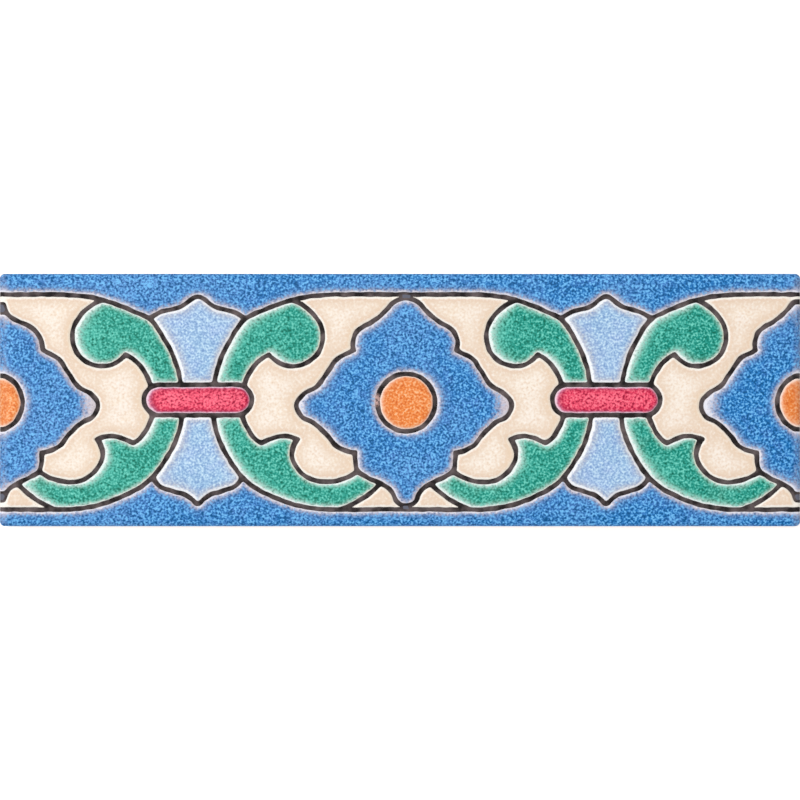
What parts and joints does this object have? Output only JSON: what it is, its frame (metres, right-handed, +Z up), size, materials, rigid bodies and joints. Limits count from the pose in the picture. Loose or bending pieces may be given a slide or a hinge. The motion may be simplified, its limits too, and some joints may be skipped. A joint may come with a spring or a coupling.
{
  "type": "border tile",
  "caption": "Fired clay border tile with a scroll and quatrefoil ornament in coloured glazes kept apart by a sunk dark dry line, with a keyed bedding face",
  "frame": {"origin": "The middle of the bedding face.", "axes": "+Z up out of the glazed face, +X along the tile, +Y across it towards the wider border band."},
  "size_m": [0.1524, 0.0478, 0.0095],
  "materials": {
    "blue_glaze": "blue glaze, soft gloss, speckled, thinner and paler along its edges",
    "green_glaze": "copper green glaze, soft gloss, speckled",
    "sky_glaze": "pale blue glaze, soft gloss, lightly speckled",
    "cream_glaze": "warm cream glaze, soft gloss",
    "crimson_glaze": "crimson glaze, soft gloss, speckled",
    "orange_glaze": "orange glaze, soft gloss, lightly speckled",
    "dry_line": "matte unglazed manganese line",
    "bisque": "matte fired clay"
  },
  "bodies": {
    "root": {"border_tile": "blue_glaze"}
  },
  "joints": []
}
